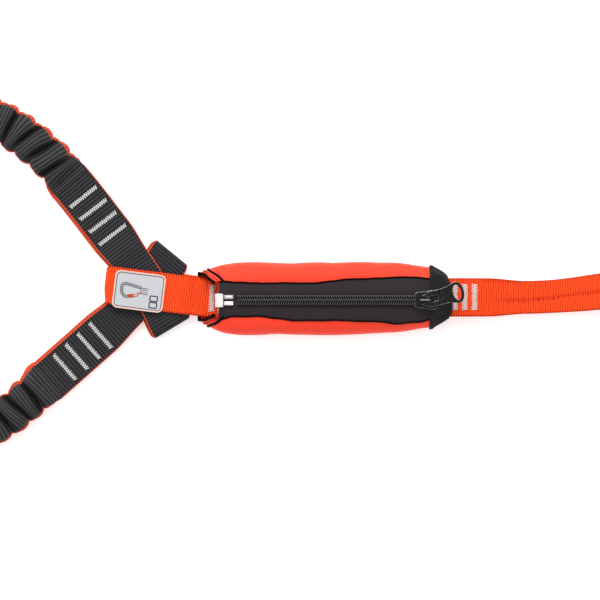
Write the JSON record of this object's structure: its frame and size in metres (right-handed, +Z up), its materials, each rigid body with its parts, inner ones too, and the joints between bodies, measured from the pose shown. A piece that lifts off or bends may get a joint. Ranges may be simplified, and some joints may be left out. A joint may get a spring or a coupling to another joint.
{
  "type": "shock absorbing lanyard",
  "caption": "Y-shaped shock absorbing lanyard: zipped pouch over folded tear webbing, rest loop, two elastic arms with sewn eyes and a harness strap with an eye.",
  "frame": {"origin": "on the flat underside of the pouch, below the middle of its length", "axes": "+X along the zip towards the harness eye, +Y across the pouch towards the upper arm, +Z up from the table through the zip"},
  "size_m": [0.7672, 0.2817, 0.0312],
  "materials": {
    "shell_fabric": "smooth woven polyester, orange red",
    "black_tape": "fine black woven tape",
    "black_nylon": "black nylon coil, slight sheen",
    "plated_metal": "white plated zinc",
    "black_metal": "black lacquer worn to bright metal on the edges",
    "dark_thread": "dark polyester thread",
    "white_thread": "pale polyester thread, zigzag bar tacks",
    "label_fabric": "pale grey coated label cloth",
    "label_edge": "pale stitched border",
    "label_textile": "folded blank label cloth",
    "elastic_band": "black elastic webbing",
    "rubber_core": "natural rubber strands",
    "arm_webbing": "black ribbed tubular webbing with an orange inner face",
    "orange_webbing": "orange ribbed polyester webbing"
  },
  "bodies": {
    "absorber_pouch": {"pouch_base": "shell_fabric", "end_hood": "black_tape", "mouth_binding_base": "black_tape", "rest_strap_lead": "orange_webbing", "rest_tack_outer": "white_thread", "rest_tack_inner": "white_thread", "tear_webbing_pack": "orange_webbing", "pack_retaining_band": "elastic_band", "inspection_label": "label_textile"},
    "flap_upper": {"pouch_panel_upper": "shell_fabric", "zip_tape_upper": "black_tape", "zip_coil_upper": "black_nylon", "zip_insertion_pin": "plated_metal", "mouth_binding_upper": "black_tape"},
    "flap_lower": {"pouch_panel_lower": "shell_fabric", "zip_tape_lower": "black_tape", "zip_coil_lower": "black_nylon", "zip_retainer_box": "plated_metal", "zip_box_pin": "plated_metal", "mouth_binding_lower": "black_tape"},
    "zip_slider": {"slider_body": "black_metal", "slider_crown": "black_metal"},
    "zip_puller": {"puller_tab": "black_metal"},
    "rest_loop": {"rest_loop_webbing": "orange_webbing", "rest_label": "label_fabric", "rest_label_border": "label_edge"},
    "harness_strap": {"harness_strap_lead": "orange_webbing", "harness_tack_1": "white_thread", "harness_tack_2": "white_thread", "harness_tack_3": "white_thread"},
    "harness_eye": {"harness_eye_webbing": "orange_webbing"},
    "upper_arm_eye": {"upper_arm_eye": "arm_webbing", "upper_arm_core_stitch": "dark_thread", "upper_arm_tack_1": "white_thread", "upper_arm_tack_2": "white_thread", "upper_arm_tack_3": "white_thread", "upper_arm_tack_4": "white_thread"},
    "upper_arm_sleeve": {"upper_arm_sleeve": "arm_webbing", "upper_arm_core": "rubber_core"},
    "upper_arm_end": {"upper_arm_end_eye": "arm_webbing", "upper_arm_end_core_stitch": "dark_thread", "upper_arm_end_tack_1": "white_thread", "upper_arm_end_tack_2": "white_thread", "upper_arm_end_tack_3": "white_thread", "upper_arm_end_tack_4": "white_thread"},
    "lower_arm_eye": {"lower_arm_eye": "arm_webbing", "lower_arm_core_stitch": "dark_thread", "lower_arm_tack_1": "white_thread", "lower_arm_tack_2": "white_thread", "lower_arm_tack_3": "white_thread", "lower_arm_tack_4": "white_thread"},
    "lower_arm_sleeve": {"lower_arm_sleeve": "arm_webbing", "lower_arm_core": "rubber_core"},
    "lower_arm_end": {"lower_arm_end_eye": "arm_webbing", "lower_arm_end_core_stitch": "dark_thread", "lower_arm_end_tack_1": "white_thread", "lower_arm_end_tack_2": "white_thread", "lower_arm_end_tack_3": "white_thread", "lower_arm_end_tack_4": "white_thread"}
  },
  "joints": [
    {"name": "rest_loop_bend", "type": "hinge", "parent": "absorber_pouch", "child": "rest_loop", "pos_m": [-0.08393, 0.00242, 0.0076], "axis": [0.1253, 0.9921, 0], "range_deg": [-10, 60]},
    {"name": "flap_upper_open", "type": "hinge", "parent": "absorber_pouch", "child": "flap_upper", "pos_m": [0, 0.025, 0.0115], "axis": [-1, 0, 0], "range_deg": [0, 65], "deforming": ["zip_tape_upper", "zip_coil_upper"]},
    {"name": "flap_lower_open", "type": "hinge", "parent": "absorber_pouch", "child": "flap_lower", "pos_m": [0, -0.0224, 0.0115], "axis": [1, 0, 0], "range_deg": [0, 65], "deforming": ["zip_tape_lower", "zip_coil_lower"]},
    {"name": "slider_travel", "type": "slide", "parent": "flap_lower", "child": "zip_slider", "axis": [-1, 0, 0], "range_m": [0, 0.1155]},
    {"name": "puller_flip", "type": "hinge", "parent": "zip_slider", "child": "zip_puller", "pos_m": [0.066, 0, 0.0279], "axis": [0.2588, -0.9659, 0], "range_deg": [0, 130]},
    {"name": "absorber_deploy", "type": "slide", "parent": "absorber_pouch", "child": "harness_strap", "axis": [1, 0, 0], "range_m": [0, 0.85], "deforming": ["tear_webbing_pack"]},
    {"name": "harness_eye_bend", "type": "hinge", "parent": "harness_strap", "child": "harness_eye", "pos_m": [0.104, 0.0017, 0.0076], "axis": [0, -1, 0], "range_deg": [-60, 65]},
    {"name": "upper_arm_swing", "type": "hinge", "parent": "rest_loop", "child": "upper_arm_eye", "pos_m": [-0.1123, 0.006, 0.007], "axis": [0, 0, -1], "range_deg": [0, 9]},
    {"name": "upper_arm_bend", "type": "hinge", "parent": "upper_arm_eye", "child": "upper_arm_sleeve", "pos_m": [-0.16526, 0.07744, 0.0043], "axis": [0.7554, 0.6553, 0], "range_deg": [-50, 50], "deforming": ["upper_arm_sleeve"]},
    {"name": "upper_arm_stretch", "type": "slide", "parent": "upper_arm_sleeve", "child": "upper_arm_end", "axis": [-0.9986, 0.0523, 0], "range_m": [0, 0.24], "stiffness_N_per_m": 40, "deforming": ["upper_arm_sleeve", "upper_arm_core"]},
    {"name": "lower_arm_swing", "type": "hinge", "parent": "rest_loop", "child": "lower_arm_eye", "pos_m": [-0.1123, 0.006, 0.007], "axis": [0, 0, 1], "range_deg": [0, 9]},
    {"name": "lower_arm_bend", "type": "hinge", "parent": "lower_arm_eye", "child": "lower_arm_sleeve", "pos_m": [-0.17691, -0.05507, 0.0043], "axis": [-0.6626, 0.749, 0], "range_deg": [-50, 50], "deforming": ["lower_arm_sleeve"]},
    {"name": "lower_arm_stretch", "type": "slide", "parent": "lower_arm_sleeve", "child": "lower_arm_end", "axis": [-0.9986, -0.0523, 0], "range_m": [0, 0.24], "stiffness_N_per_m": 40, "deforming": ["lower_arm_sleeve", "lower_arm_core"]}
  ],
  "couplings": [
    {"joint": "flap_upper_open", "follows": "slider_travel", "rad_per_m": 9.8173},
    {"joint": "flap_lower_open", "follows": "slider_travel", "rad_per_m": 9.8173}
  ]
}
